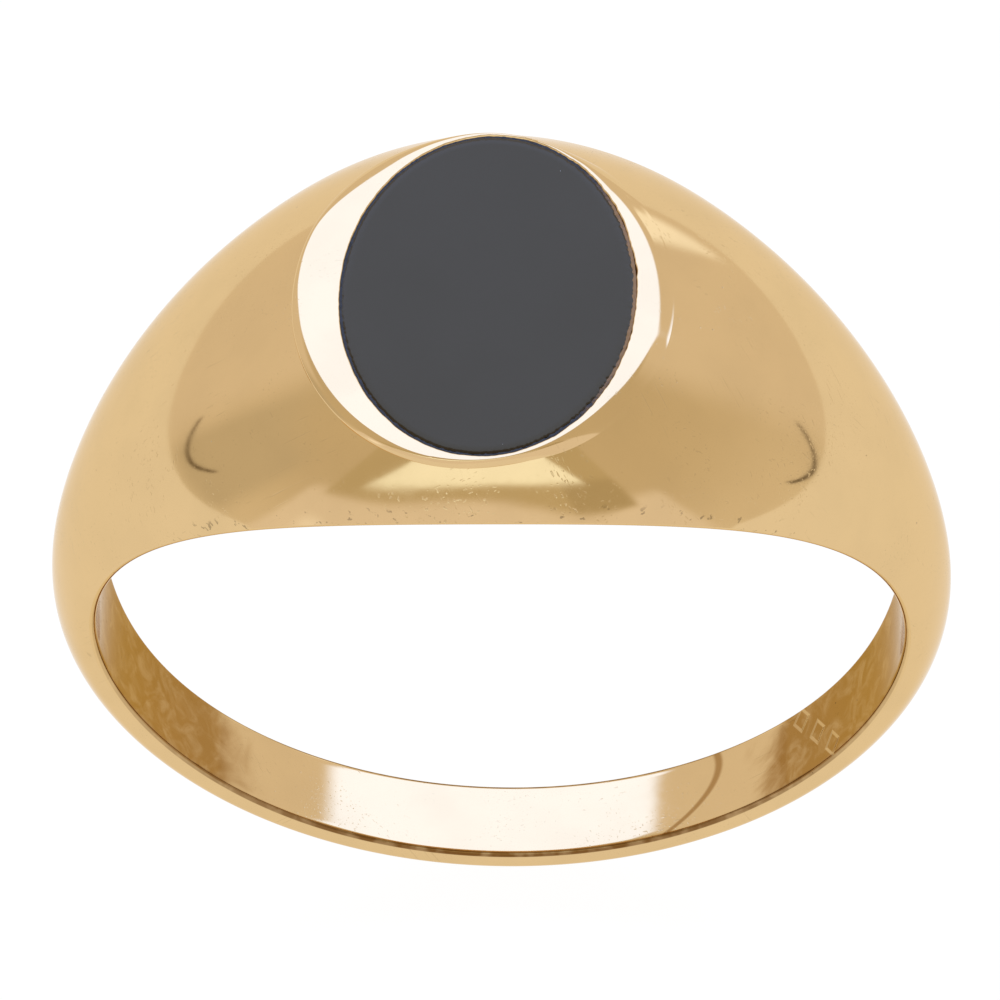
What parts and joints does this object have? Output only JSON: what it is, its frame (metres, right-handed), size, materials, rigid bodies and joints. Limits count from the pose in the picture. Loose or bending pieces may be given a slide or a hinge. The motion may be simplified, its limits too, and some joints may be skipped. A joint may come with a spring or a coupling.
{
  "type": "signet ring",
  "caption": "Yellow-gold signet ring: a tapered domed hoop that flares into an oval head, with a flat black stone set flush in a soldered bezel.",
  "frame": {"origin": "centre of the finger hole, midway along the finger", "axes": "+Y along the finger hole, +Z out through the stone's flat face, +X across the ring"},
  "size_m": [0.0222, 0.0118, 0.0223],
  "materials": {
    "gold_hoop": "polished",
    "gold_bezel": "polished",
    "gold_solder": "satin",
    "setting_cement": "matte",
    "black_onyx": "polished"
  },
  "bodies": {
    "root": {"hoop": "gold_hoop", "bezel_cup": "gold_bezel", "bezel_solder": "gold_solder", "cement_bed": "setting_cement", "onyx_stone": "black_onyx"}
  },
  "joints": []
}
